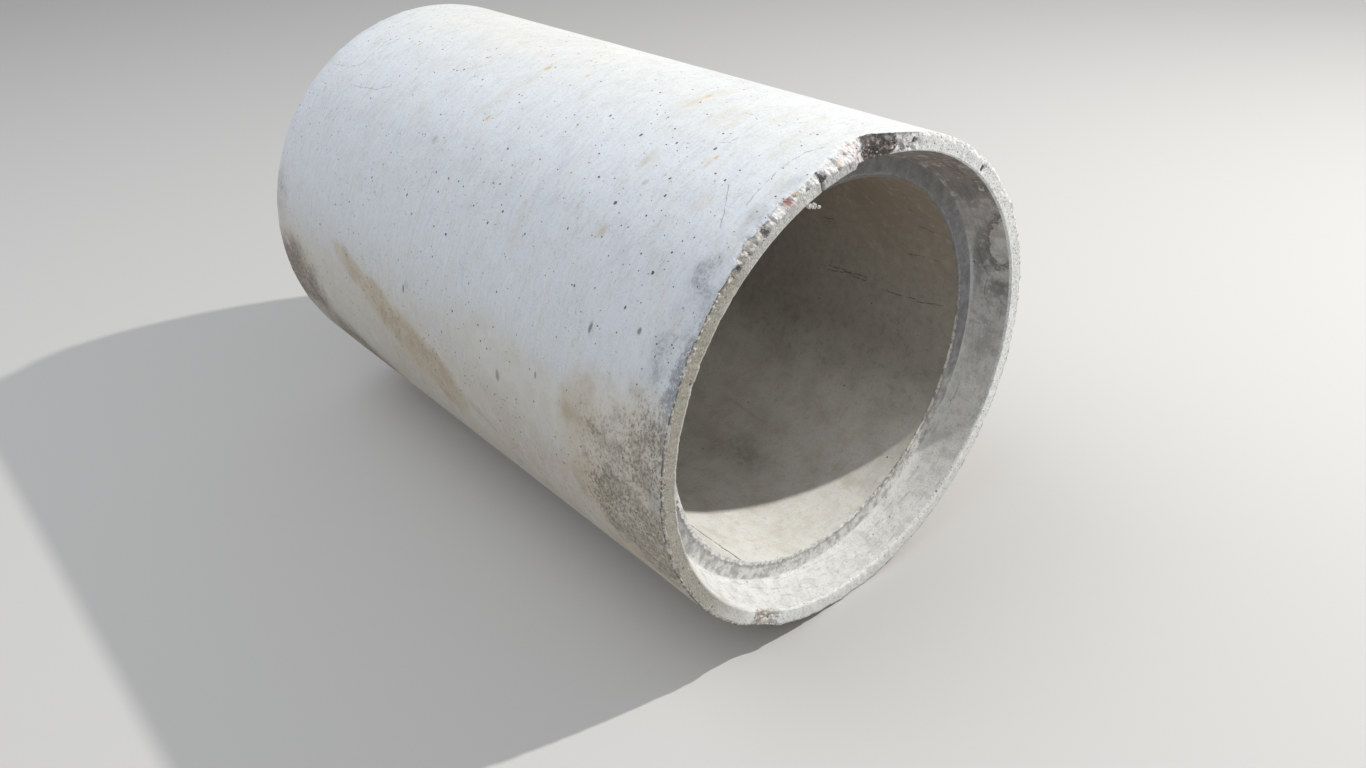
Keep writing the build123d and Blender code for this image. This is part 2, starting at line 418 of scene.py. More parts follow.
class Shader:
    """Builds one material's nodes, and keeps its colour as coats are laid over it. A value given to a
    node is a number, a tuple or a socket. Colours are linear. x, y, z and r are metres from the axis."""

    def __init__(self, name):
        self.material = bpy.data.materials.new(name)
        self.material.use_nodes = True
        self.tree = self.material.node_tree
        self.skin = self.tree.nodes["Principled BSDF"]
        self.at = self.node("TexCoord", {}).outputs["Object"]
        from_axis = self.vector("SUBTRACT", self.at, (0, 0, BARREL_R))
        self.x, self.y, self.z = self.node("SeparateXYZ", {0: from_axis}).outputs
        self.r = self.vector("LENGTH", self.vector("MULTIPLY", from_axis, (0, 1, 1)))

    def plug(self, n, values):
        """Links a node's inputs to sockets, or sets them."""
        for key, value in values.items():
            if isinstance(value, bpy.types.NodeSocket):
                self.tree.links.new(value, n.inputs[key])
            else:
                n.inputs[key].default_value = value

    def node(self, kind, values, **settings):
        n = self.tree.nodes.new("ShaderNode" + kind)
        for key, value in settings.items():
            setattr(n, key, value)
        self.plug(n, values)
        return n

    def maths(self, operation, a, b):
        return self.node("Math", {0: a, 1: b}, operation=operation).outputs[0]

    def add(self, a, b):
        return self.maths("ADD", a, b)

    def less(self, a, b):
        return self.maths("SUBTRACT", a, b)

    def times(self, a, b):
        return self.maths("MULTIPLY", a, b)

    def larger(self, a, b):
        return self.maths("MAXIMUM", a, b)

    def sway(self, noise, amount):
        """Noise of 0 to 1 turned into about half the amount either way of zero."""
        return self.times(self.less(noise, 0.5), amount)

    def vector(self, operation, a, b=(0, 0, 0)):
        n = self.node("VectorMath", {0: a, 1: b}, operation=operation)
        return n.outputs[1] if operation in ("LENGTH", "DOT_PRODUCT", "DISTANCE") else n.outputs[0]

    def mix(self, share, a, b, blend="MIX"):
        """Colour a turning to colour b. Both are tuples of three or sockets."""
        a, b = [(*c, 1) if isinstance(c, tuple) else c for c in (a, b)]
        return self.node("Mix", {0: share, 6: a, 7: b}, data_type="RGBA", blend_type=blend).outputs[2]

    def fade(self, value, start, end, a, b):
        """Colour a turning to colour b as the value goes from start to end."""
        return self.mix(self.rise(value, start, end), a, b)

    def coat(self, share, colour, strength=1.0):
        """Lays a colour over the skin so far, on a share of it."""
        share = share if strength == 1 else self.times(share, strength)
        self.colour = self.mix(share, self.colour, colour)

    def rise(self, value, start, end, top=1.0, bottom=0.0):
        """Turns smoothly from bottom to top as the value goes from start to end."""
        values = {"Value": value, "From Min": start, "From Max": end, "To Min": bottom, "To Max": top}
        return self.node("MapRange", values, interpolation_type="SMOOTHSTEP").outputs[0]

    def noise(self, size, detail=3.0, rough=0.55, round_it=1, along=1, seed=0.0):
        """Noise of 0 to 1, its lumps about size across, or so many times longer round or along the pipe."""
        at = self.at
        if round_it != along:
            at = self.vector("MULTIPLY", at, (1 / along, 1 / round_it, 1 / round_it))
        if seed:
            at = self.vector("ADD", at, (seed, 0.7 * seed, 0.3 * seed))
        values = {"Vector": at, "Scale": 1 / size, "Detail": detail, "Roughness": rough}
        return self.node("TexNoise", values).outputs[0]

    def cells(self, size, seed=0.0):
        """Random cells: the distance from a cell's middle, in cells, and two random numbers of its own."""
        at = self.vector("ADD", self.at, (seed, 0.6 * seed, 0.2 * seed)) if seed else self.at
        n = self.node("TexVoronoi", {"Vector": at, "Scale": 1 / size})
        return n.outputs["Distance"], *self.node("SeparateColor", {0: n.outputs["Color"]}).outputs[:2]

    def outside(self):
        """Marks are placed on the barrel, from the face's plane. Their places run from -90 to 270."""
        angle = self.maths("ARCTAN2", self.times(self.y, -1.0), self.z)
        self.flatten(angle, BARREL_R, 90)

    def inside(self, r):
        """Marks are placed inside at a radius, from the face's plane. Their places run from -270 to 90."""
        angle = self.maths("ARCTAN2", self.y, self.times(self.z, -1.0))
        self.flatten(angle, r, -90)

    def flatten(self, angle, r, first_place):
        """Flat coordinates in metres, along the pipe and round it, with a ragged wobble."""
        self.marks_r, self.first_place = r, first_place
        x = self.less(self.x, FACE_X)
        point = self.node("CombineXYZ", {0: x, 1: self.times(angle, r), 2: 0.0}).outputs[0]
        values = {"Vector": self.at, "Scale": 60.0, "Detail": 5.0, "Roughness": 0.6}
        wobble = self.vector("SUBTRACT", self.node("TexNoise", values).outputs[1], (0.5, 0.5, 0.5))
        self.marks = self.vector("ADD", point, self.vector("MULTIPLY", wobble, (WOBBLE, WOBBLE, 0)))

    def spot(self, x, place):
        """A mark's flat coordinates, from its x in mm and its place."""
        return Vector((x * MM, math.radians(place - self.first_place) * self.marks_r, 0))

    def stain(self, rows, soft=0.35):
        """The share covered by stains. A row is the middle's x and place, half the length and the width,
        the turn and the strength."""
        shares = []
        for x, place, half_x, half_round, turn, strength in rows:
            away = self.vector("SUBTRACT", self.marks, tuple(self.spot(x, place)))
            if turn:
                values = {"Vector": away, "Angle": math.radians(-turn)}
                away = self.node("VectorRotate", values, rotation_type="Z_AXIS").outputs[0]
            away = self.vector("DIVIDE", away, (half_x * MM, half_round * MM, 1))
            shares.append(self.rise(self.vector("LENGTH", away), 1.0, soft, strength))
        return reduce(self.larger, shares)

    def hairlines(self, rows, width):
        """Thin broken lines through rows of points, each point an x in mm and a place."""
        lines = []
        for points in rows:
            spots = [self.spot(x, place) for x, place in points]
            for a, b in zip(spots, spots[1:]):
                run = b - a
                from_a = self.vector("SUBTRACT", self.marks, tuple(a))
                along = self.vector("DOT_PRODUCT", from_a, tuple(run / run.length_squared))
                along = self.node("Clamp", {0: along}).outputs[0]
                foot = self.node("VectorMath", {0: tuple(run), 3: along}, operation="SCALE").outputs[0]
                lines.append(self.rise(self.vector("DISTANCE", from_a, foot), width, width * 0.3))
        gaps = self.rise(self.noise(0.009, 3, 0.6, seed=9.0), 0.38, 0.58, 1.0, 0.15)
        return self.times(reduce(self.larger, lines), gaps)

    def finish(self, depth, heights, roughness):
        """Sets the colour, the roughness and the bump: weighted heights, of which 1 is that many metres."""
        height = 0.0
        for value, weight in heights:
            height = self.add(height, self.times(value, weight))
        bump = self.node("Bump", {"Strength": 1.0, "Distance": depth, "Height": height}).outputs[0]
        self.plug(self.skin, {"Base Color": self.colour, "Roughness": roughness, "Normal": bump})
        self.plug(self.skin, {"Specular IOR Level": 0.3})
        return self.material


def pits(sh, layers):
    """Small air holes in cast concrete. A layer is its cells' size, its largest hole, the share of cells
    with a hole, and a seed."""
    holes = []
    for size, largest, share, seed in layers:
        distance, chance, width = sh.cells(size, seed=seed)
        width = sh.rise(width, 0.0, 1.0, largest / size, 0.25 * largest / size)
        hole = sh.rise(sh.maths("DIVIDE", distance, width), 1.0, 0.55)
        holes.append(sh.times(hole, sh.rise(chance, share, share - 0.02)))
    return reduce(sh.larger, holes)


# Stains on the barrel, and a band partly of painted shade by the lip: x of the middle in mm from
# the lip's face, its place, half the length along, half the width round, the turn in degrees and the
# strength
OCHRE_BAND = [
    (-850, 172, 110, 34, 20, 0.7), (-745, 178, 110, 50, 24, 0.9), (-650, 183, 110, 66, 26, 1),
    (-575, 188, 100, 70, 28, 1), (-180, 170, 64, 100, 14, 0.6), (-150, 186, 70, 80, 30, 0.8),
    (-120, 206, 90, 60, 20, 0.6),
]
BEIGE_WASH = [
    (-300, 172, 330, 90, 8, 0.5), (-110, 168, 130, 110, 0, 0.55), (-560, 186, 300, 110, 16, 0.4),
    (-930, 186, 260, 120, 14, 0.6),
]
MOTTLED = [
    (-104, 175, 125, 140, 16, 0.6), (-100, 188, 122, 120, 24, 0.95), (-40, 194, 90, 150, 0, 0.95),
    (-44, 170, 80, 130, 0, 0.8), (-310, 204, 190, 40, 10, 0.35), (-420, 192, 130, 24, 14, 0.35),
]
# Partly painted shade: a bluish, darker band on the barrel along the lip's edge, with dark specks.
RIM_BAND = [
    (0, 162, 40, 230, 0, 0.8), (-10, 152, 90, 230, -6, 0.42), (-36, 133, 32, 52, -10, 0.5),
    (-22, 120, 26, 60, -14, 0.3), (-20, 110, 18, 50, 0, 0.3),
]
FAR_DIRT = [
    (-1120, 188, 150, 130, 16, 0.8), (-1150, 190, 60, 120, 10, 0.9), (-980, 207, 230, 100, 12, 0.75),
    (-1150, 164, 50, 90, 0, 0.3), (-740, 218, 280, 60, 6, 0.5), (-110, 215, 120, 50, 14, 0.5),
]
BROWN_WASH = [
    (-300, 92, 26, 160, 0, 0.25), (-630, 108, 40, 90, 0, 0.22), (-420, 100, 16, 140, 0, 0.2),
    (-860, 104, 26, 120, 0, 0.2), (-254, 115.5, 10, 40, 0, 0.5), (-236, 133.6, 10, 18, 0, 0.5),
    (-257, 123.5, 7, 26, 0, 0.35), (-208, 156.8, 5, 12, 0, 0.4),
]
RUST_SPOTS = [
    (-972, 106.8, 4, 8, 0, 0.8), (-773, 103.2, 5, 9, 0, 0.8), (-616, 120.8, 5, 10, 0, 0.85),
    (-625, 100.2, 7, 13, 0, 0.85), (-534, 98.6, 4, 8, 0, 0.6), (-303, 91.7, 8, 16, 0, 0.6),
    (-158, 109.8, 5, 8, 0, 0.75), (-74, 85.4, 3, 6, 0, 0.6), (-303, 96, 8, 36, 0, 0.25),
    (-158, 112, 5, 16, 0, 0.35), (-620, 106, 8, 40, 0, 0.15),
]
DARK_SPOTS = [
    (-182, 152, 5, 11, 10, 0.8), (-377, 174, 6, 14, 0, 0.6), (-660, 168, 4, 9, 0, 0.9),
    (-650, 166.5, 9, 10, 0, 0.2), (-95, 147.9, 5, 6, 0, 0.8), (-278, 167.9, 3, 8, 0, 0.7),
    (-224, 121, 7, 8, 30, 0.25), (-700, 131, 9, 12, 0, 0.3),
]
LARGE_PITS = [
    (-305, 110.9, 2.6, 4.2, 20, 1), (-392, 108.5, 2.2, 3, 0, 1), (-173, 107.8, 2.6, 3.2, 20, 1),
    (-192, 118.3, 2, 2.6, 0, 1), (-176, 122.3, 2.4, 3, 0, 1), (-246, 127.6, 3.2, 3.8, 20, 1),
    (-116, 137.1, 2.2, 3, 0, 1), (-104, 132, 1.8, 2.2, 0, 1), (-134, 145.2, 2, 3, 0, 1),
    (-239, 146.2, 1.8, 2.4, 0, 1), (-301, 136.4, 1.8, 2.4, 0, 1), (-112, 114.5, 2.2, 2.4, 0, 1),
    (-237, 109.7, 1.6, 2.2, 0, 1), (-307, 124, 2.2, 2.4, 0, 1), (-470, 143, 2.2, 2.4, 0, 1),
    (-560, 150, 2.2, 2.4, 0, 1), (-610, 138, 2, 2.2, 0, 1), (-520, 126, 2.2, 2.2, 0, 1),
    (-700, 146, 2.4, 2.6, 0, 1),
]
BARREL_CRACKS = [
    [(-51, 118), (-55, 112), (-56, 106), (-54, 101), (-41, 97)],
    [(-99, 115), (-86, 118), (-72, 121), (-60, 124)], [(-212, 94), (-190, 94), (-179, 95)],
    [(-145, 93), (-127, 92), (-118, 90)], [(-180, 106), (-165, 105), (-163, 103)],
    [(-1146, 123), (-1088, 122), (-1059, 120), (-1062, 113), (-1040, 107)],
    [(-1042, 127), (-949, 125), (-939, 124), (-919, 123)],
]
HOOP_MARK = [[(-680, 122), (-670, 133), (-655, 141), (-649, 149), (-653, 159)]]


def weathered_barrel():
    """Pale weathered concrete with hoop streaks, air holes and placed stains, darker below with soil and
    painted shade, and painted cool shade on the left.
    """
    sh = Shader("weathered_barrel")
    sh.outside()
    broad = sh.noise(0.3, 2)
    patchy = sh.noise(0.045, 4, 0.6)
    fine = sh.noise(0.0035, 3, 0.6)
    streak = sh.noise(0.006, 4, 0.68, round_it=4)
    stroke = sh.rise(sh.noise(0.0026, 4, 0.7, round_it=4, seed=2.0), 0.57, 0.68)
    speck = sh.noise(0.0044, 6, 0.82, round_it=1.35, seed=7.0)
    cloud = sh.sway(sh.noise(0.035, 4, 0.65), 0.9)

    sh.colour = sh.fade(broad, 0.35, 0.65, (0.785, 0.78, 0.75), (0.75, 0.76, 0.755))
    # Painted cool shade: bluer and darker on the -Y side.
    sh.coat(sh.rise(sh.y, 0.0, -0.2), (0.75, 0.79, 0.84))
    sh.coat(sh.rise(sh.y, -0.23, -0.34), (0.675, 0.71, 0.755))
    # The +Y side darker and duller: partly weathering, partly painted shade that tones down the key lamp.
    far_side_wear_and_shade = sh.rise(sh.add(sh.y, sh.times(broad, 0.3)), 0.25, 0.45)
    sh.coat(far_side_wear_and_shade, sh.fade(patchy, 0.35, 0.65, (0.68, 0.67, 0.64), (0.56, 0.55, 0.52)))
    # Darker and browner low down: partly soil, partly painted shade that offsets the pale floor's bounce.
    low_soil_and_shade = sh.rise(sh.add(sh.z, sh.times(patchy, 0.12)), 0.24, 0.0)
    sh.coat(low_soil_and_shade, (0.55, 0.5, 0.425))
    sh.coat(sh.rise(patchy, 0.35, 0.7, 0.22), (0.6, 0.61, 0.61))
    sh.coat(sh.rise(streak, 0.5, 0.7, 0.28), (0.49, 0.49, 0.49))
    sh.coat(sh.rise(streak, 0.48, 0.3, 0.2), (0.87, 0.875, 0.87))
    sh.coat(sh.rise(fine, 0.45, 0.75, 0.32), (0.47, 0.48, 0.49))

    stroke_share = sh.times(stroke, sh.rise(patchy, 0.42, 0.66, 0.5, 0.08))
    stroke_share = sh.add(stroke_share, sh.times(sh.times(stroke, low_soil_and_shade), 0.45))
    sh.coat(stroke_share, (0.25, 0.24, 0.23))
    soil = sh.noise(0.022, 5, 0.7, round_it=3.5, seed=21.0)
    sh.coat(sh.rise(soil, 0.52, 0.7, 0.42), (0.66, 0.61, 0.52))
    sh.coat(sh.rise(soil, 0.46, 0.34, 0.38), (0.6, 0.62, 0.645))
    dots = sh.times(sh.rise(speck, 0.59, 0.66), sh.rise(soil, 0.4, 0.6, 0.8, 0.35))
    sh.coat(dots, (0.4, 0.39, 0.38))
    for rows, light, dark, specks in (
        (BEIGE_WASH, (0.66, 0.645, 0.595), (0.5, 0.475, 0.42), 0.05),
        (BROWN_WASH, (0.66, 0.62, 0.55), (0.5, 0.44, 0.36), 0.02),
        (OCHRE_BAND, (0.535, 0.47, 0.37), (0.36, 0.285, 0.205), 0.08),
        (FAR_DIRT, (0.46, 0.4, 0.34), (0.19, 0.165, 0.14), 0.17),
        # The band by the lip: partly painted shade.
        (RIM_BAND, (0.59, 0.62, 0.665), (0.23, 0.24, 0.27), 0.19),
        (MOTTLED, (0.6, 0.545, 0.45), (0.205, 0.185, 0.15), 0.14),
    ):
        share = sh.stain(rows, 0.3)
        ragged = sh.times(sh.rise(sh.add(share, cloud), -0.1, 0.9), sh.rise(share, 0.0, 0.35))
        ground = sh.mix(sh.rise(cloud, -0.1, 0.12, 0.45), light, dark)
        speckled = sh.fade(sh.add(speck, sh.times(ragged, specks)), 0.585, 0.7, ground, dark)
        sh.coat(ragged, speckled, 0.88)
    sh.coat(sh.stain(RUST_SPOTS, 0.2), (0.66, 0.46, 0.24))
    sh.coat(sh.stain(DARK_SPOTS), (0.16, 0.17, 0.18))

    cracks = sh.hairlines(BARREL_CRACKS, 0.9 * MM)
    hoop = sh.hairlines(HOOP_MARK, 1.6 * MM)
    sh.coat(cracks, (0.33, 0.3, 0.29), 0.65)
    sh.coat(hoop, (0.42, 0.42, 0.43), 0.4)
    holes = pits(sh, ((0.026, 0.0024, 0.5, 0.0), (0.016, 0.0019, 0.7, 5.0), (0.01, 0.0013, 0.8, 3.0)))
    holes = sh.larger(holes, sh.stain(LARGE_PITS, soft=0.6))
    sh.coat(holes, (0.085, 0.085, 0.09), 0.9)

    heights = (streak, 0.35), (fine, 0.22), (patchy, 0.5), (holes, -1.2), (cracks, -0.4)
    return sh.finish(1.2 * MM, heights, sh.rise(patchy, 0.3, 0.7, 0.95, 0.8))


def stones(sh, size, seed):
    """Colours of broken stones: mostly greys, some pink, brown and cream ones, and the mortar between."""
    distance, pick, shade = sh.cells(size, seed=seed)
    ramp = sh.node("ValToRGB", {0: pick})
    ramp.color_ramp.interpolation = "CONSTANT"
    points = ramp.color_ramp.elements
    wanted = (
        (0.0, (0.62, 0.61, 0.59)), (0.3, (0.44, 0.43, 0.42)), (0.52, (0.5, 0.4, 0.37)),
        (0.62, (0.74, 0.73, 0.71)), (0.82, (0.3, 0.25, 0.22)), (0.9, (0.66, 0.58, 0.44)),
        (0.94, (0.4, 0.28, 0.26)),
    )
    while len(points) < len(wanted):
        points.new(1.0)
    for point, (place, colour) in zip(points, wanted):
        point.position = place
        point.color = (*colour, 1)
    mortar = sh.rise(distance, 0.42, 0.62)
    colour = sh.mix(sh.rise(shade, 0, 1, 0.35), ramp.outputs[0], (0.8, 0.79, 0.77), "MULTIPLY")
    return colour, mortar, distance


# The dark old part of the break and its steep wall, and single stones, in mm and places on the outside
DARK_BREAK = [(-14, 87, 34, 33, 0, 1), (-17, 84, 10, 44, 0, 0.9), (-14, 105.1, 20, 3.5, 0, 1)]
STEEP_WALL = [(-14, 93.6, 26, 14, 0, 1)]
PINK_BITS = [
    (-6, 113.5, 9, 9, 0, 0.9), (-4, 66, 4, 5, 0, 0.4), (-4, 48, 4, 5, 0, 0.35), (-5, 235, 7, 7, 0, 0.3),
]
CREAM_BITS = [(-8, 111.2, 7, 8, 0, 0.95), (-5, 238, 6, 6, 0, 0.3), (-5, 99.5, 6, 6, 0, 0.4)]


def broken_concrete():
    """Broken faces: crumbly pale mortar with stones of several colours, dark in the old break."""
    sh = Shader("broken_concrete")
    sh.outside()
    fine = sh.noise(0.0022, 3, 0.65)
    lumps = sh.noise(0.007, 4, 0.6)
    sh.colour, mortar, distance = stones(sh, 0.0065, 1.0)
    pale = sh.fade(lumps, 0.35, 0.65, (0.88, 0.87, 0.865), (0.66, 0.65, 0.645))
    left = sh.rise(sh.y, -0.14, -0.25)
    beige = sh.fade(lumps, 0.42, 0.58, (0.7, 0.675, 0.62), (0.4, 0.365, 0.31))
    pale = sh.mix(left, pale, beige)
    mostly_mortar = sh.larger(mortar, sh.rise(sh.noise(0.012, 2, 0.5, seed=4.0), 0.36, 0.46))
    sh.coat(mostly_mortar, pale)
    wall = sh.fade(lumps, 0.42, 0.6, (0.86, 0.8, 0.78), (0.6, 0.47, 0.45))
    sh.coat(sh.stain(STEEP_WALL, 0.7), wall)
    sh.coat(sh.stain(PINK_BITS), (0.46, 0.25, 0.22))
    sh.coat(sh.stain(CREAM_BITS), (0.72, 0.58, 0.36))
    dark, dark_mortar, _ = stones(sh, 0.0052, 5.0)
    dark = sh.mix(dark_mortar, sh.mix(1.0, dark, (0.37, 0.335, 0.325), "MULTIPLY"), (0.145, 0.13, 0.125))
    dark = sh.fade(fine, 0.4, 0.7, dark, (0.1, 0.085, 0.08))
    dark = sh.mix(sh.rise(sh.noise(0.01, 4, 0.65, seed=2.0), 0.5, 0.62, 0.75), dark, (0.45, 0.44, 0.43))
    old = sh.add(sh.stain(DARK_BREAK, soft=0.3), sh.sway(lumps, 0.8))
    sh.coat(sh.rise(old, 0.3, 0.6), dark)
    # Painted shadow: a dark broken line along the crumbled outer edge on the left, next to the barrel.
    corner = sh.times(sh.rise(sh.r, BARREL_R - 2.4 * MM, BARREL_R - 0.9 * MM), left)
    corner = sh.times(corner, sh.rise(lumps, 0.38, 0.5))
    sh.coat(corner, (0.16, 0.14, 0.13), 0.85)
    sh.coat(sh.rise(fine, 0.55, 0.75, 0.35), (0.2, 0.18, 0.17))
    return sh.finish(1.6 * MM, ((lumps, 1.0), (sh.rise(distance, 0.6, 0.2), 0.6), (fine, 0.5)), 0.95)


# Where the lip's face is grey and speckled, from the break leftwards
GREY_FACE = [(0, 101, 30, 60, 0, 0.9), (0, 119, 30, 90, 0, 0.65)]


def lip_face():
    """The lip's face: white and speckled on the right, beige and fine-grained on the left."""
    sh = Shader("lip_face")
    sh.outside()
    fine = sh.noise(0.0022, 3, 0.65)
    grainy = sh.noise(0.006, 4, 0.65)
    broad = sh.noise(0.05, 3)
    speck, chance, _ = sh.cells(0.0042, seed=2.0)

    white = sh.fade(fine, 0.42, 0.62, (0.94, 0.94, 0.925), (0.74, 0.75, 0.73))
    dark_specks = sh.times(sh.rise(speck, 0.4, 0.25), sh.rise(chance, 0.62, 0.6, 0.0, 0.75))
    white = sh.mix(dark_specks, white, (0.36, 0.36, 0.35))
    white = sh.mix(sh.rise(grainy, 0.52, 0.75, 0.45), white, (0.47, 0.475, 0.46))
    grey_patches = sh.rise(sh.noise(0.017, 5, 0.72, seed=3.0), 0.51, 0.58, 0.26)
    white = sh.mix(grey_patches, white, (0.52, 0.53, 0.525))
    beige = sh.fade(fine, 0.4, 0.62, (0.5, 0.475, 0.405), (0.27, 0.25, 0.205))
    beige = sh.fade(grainy, 0.35, 0.7, beige, (0.4, 0.385, 0.33))
    pale_specks = sh.times(sh.rise(speck, 0.38, 0.2), sh.rise(chance, 0.8, 0.82))
    beige = sh.mix(pale_specks, beige, (0.75, 0.73, 0.68))
    grey = sh.fade(fine, 0.4, 0.62, (0.68, 0.67, 0.65), (0.38, 0.37, 0.36))
    white = sh.mix(sh.stain(GREY_FACE, 0.5), white, grey)
    left = sh.rise(sh.add(sh.y, sh.sway(broad, 0.25)), -0.13, -0.29)
    left = sh.times(left, sh.rise(sh.z, -0.33, -0.18))
    sh.colour = sh.mix(left, white, beige)
    under = sh.rise(sh.add(sh.z, sh.times(grainy, 0.1)), -0.1, -0.25, 0.3)
    under = sh.times(under, sh.rise(sh.r, MOUTH_R + 3 * MM, MOUTH_R + 12 * MM))
    sh.coat(under, (0.5, 0.485, 0.455))

    # A pale line along the mouth's edge on the left: partly worn edge, partly painted highlight.
    inner = sh.rise(sh.r, MOUTH_R + 2.4 * MM, MOUTH_R + 1.0 * MM, 0.4)
    inner = sh.times(inner, sh.rise(sh.y, 0.0, -0.32))
    sh.coat(inner, (0.86, 0.86, 0.82))
    # Painted shadow: a dark broken band along the lip's crumbled outer edge.
    rim_shadow = sh.times(sh.rise(sh.r, BARREL_R - 5.5 * MM, BARREL_R - 3.0 * MM), sh.rise(grainy, 0.42, 0.52))
    sh.coat(rim_shadow, (0.17, 0.15, 0.14), 0.8)
    outer = sh.rise(sh.r, BARREL_R - 15 * MM, BARREL_R - 10 * MM)
    sh.coat(sh.times(sh.stain(PINK_BITS), outer), (0.48, 0.28, 0.25))
    holes = pits(sh, ((0.016, 0.0022, 0.7, 0.0), (0.007, 0.0011, 0.7, 3.0)))
    sh.coat(holes, (0.14, 0.13, 0.125), 0.8)
    return sh.finish(1.3 * MM, ((grainy, 1.0), (fine, 0.6), (holes, -1.0)), 0.92)


# Marks inside the groove, in mm from the lip's face and places, on a radius midway along it
GROOVE_MID_R = (MOUTH_R + GROOVE_R) / 2
GROOVE_STREAKS = [
    [(-60, 67), (-40, 61), (-30, 53), (-18, 47)], [(-50, 60), (-34, 56), (-30, 49)],
    [(-30, 84), (-24, 74), (-22, 66)],
]
GROOVE_PATCH = [(-13, 21, 32, 88, -6, 1), (-14, 43, 18, 46, 0, 0.5)]
GROOVE_CRACKS = [
    [(-38, 9), (-42, 5), (-40, 2), (-30, 3.6), (-20, 3), (-10, 1.5)],
    [(-52, 18), (-46, 13.5), (-38, 10), (-22, 8)], [(-42, -104), (-34, -105.5), (-25, -104)],
    [(-30, -112), (-26, -109.5)],
]
GROOVE_STAINS = [
    (-44, 17, 26, 76, -8, 0.85), (-20, 6, 34, 26, 0, 0.75), (-40, 40, 26, 80, 0, 0.6),
    (-34, -16, 30, 70, 0, 0.45),
]
# A painted highlight: a pale strip along the groove's rounded corner at the shoulder, on the right.
CORNER_HIGHLIGHT = [(-62, 9, 3.5, 80, 0, 0.7)]


def groove_concrete():
    """The groove's tapered wall: brown at the top, grey at the side and pale low down."""
    sh = Shader("groove_concrete")
    sh.inside(GROOVE_MID_R)
    fine = sh.noise(0.0025, 3, 0.6)
    patchy = sh.noise(0.022, 4, 0.6)
    streak = sh.noise(0.0035, 4, 0.6, round_it=9)
    uneven = sh.sway(sh.noise(0.09, 3), 0.22)
    high = sh.rise(sh.add(sh.z, uneven), 0.1, 0.27)
    low = sh.rise(sh.add(sh.z, uneven), 0.02, -0.17)
    sh.colour = sh.fade(patchy, 0.35, 0.65, (0.6, 0.595, 0.585), (0.47, 0.465, 0.45))
    sh.coat(high, sh.fade(streak, 0.4, 0.62, (0.31, 0.265, 0.235), (0.19, 0.16, 0.14)))
    pale = sh.fade(patchy, 0.4, 0.7, (0.8, 0.8, 0.775), (0.66, 0.655, 0.62))
    pale = sh.mix(sh.rise(sh.noise(0.011, 5, 0.72, seed=6.0), 0.5, 0.66, 0.6), pale, (0.56, 0.56, 0.545))
    sh.coat(low, pale)
    not_low = sh.less(1.0, low)
    scaling = sh.noise(0.02, 7, 0.76, seed=12.0)
    sh.coat(sh.times(sh.rise(scaling, 0.5, 0.56, 0.42), not_low), (0.25, 0.245, 0.24))
    sh.coat(sh.times(sh.rise(scaling, 0.46, 0.41, 0.35), not_low), (0.68, 0.675, 0.66))

    stains = sh.times(sh.stain(GROOVE_STAINS, 0.2), sh.rise(sh.noise(0.01, 4), 0.3, 0.5))
    sh.coat(sh.times(stains, not_low), (0.2, 0.195, 0.19))
    area = sh.stain(GROOVE_PATCH, 0.0)
    flakes = sh.add(area, sh.sway(sh.noise(0.013, 5, 0.68, seed=1.0), 1.1))
    patch = sh.times(sh.rise(flakes, 0.4, 0.48), sh.rise(area, 0.0, 0.2))
    outline = sh.times(sh.rise(flakes, 0.22, 0.34), sh.rise(flakes, 0.46, 0.38))
    flaky = sh.fade(patchy, 0.4, 0.62, (0.66, 0.645, 0.62), (0.46, 0.445, 0.42))
    sh.coat(patch, flaky, 0.85)
    outline = sh.times(outline, sh.rise(area, 0.05, 0.25, 0.75))
    sh.coat(outline, (0.17, 0.16, 0.15))
    # Painted highlight along the groove's corner.
    sh.coat(sh.stain(CORNER_HIGHLIGHT), (0.64, 0.65, 0.67))
    lines = sh.hairlines(GROOVE_STREAKS, 2.4 * MM)
    sh.coat(lines, (0.16, 0.115, 0.095), 0.6)
    cracks = sh.hairlines(GROOVE_CRACKS, 0.8 * MM)
    sh.coat(cracks, (0.2, 0.195, 0.19), 0.45)
    sh.coat(sh.rise(streak, 0.55, 0.72, 0.4), (0.2, 0.19, 0.185))
    sh.coat(sh.rise(fine, 0.48, 0.75, 0.35), (0.24, 0.235, 0.23))
    holes = pits(sh, ((0.022, 0.002, 0.6, 0.0), (0.008, 0.0009, 0.7, 3.0)))
    sh.coat(holes, (0.12, 0.12, 0.115), 0.75)
    heights = (patchy, 0.8), (fine, 0.4), (streak, 0.3), (patch, 0.5), (holes, -1.0), (cracks, -0.7)
    return sh.finish(1.2 * MM, heights, sh.rise(patchy, 0.3, 0.7, 0.95, 0.8))


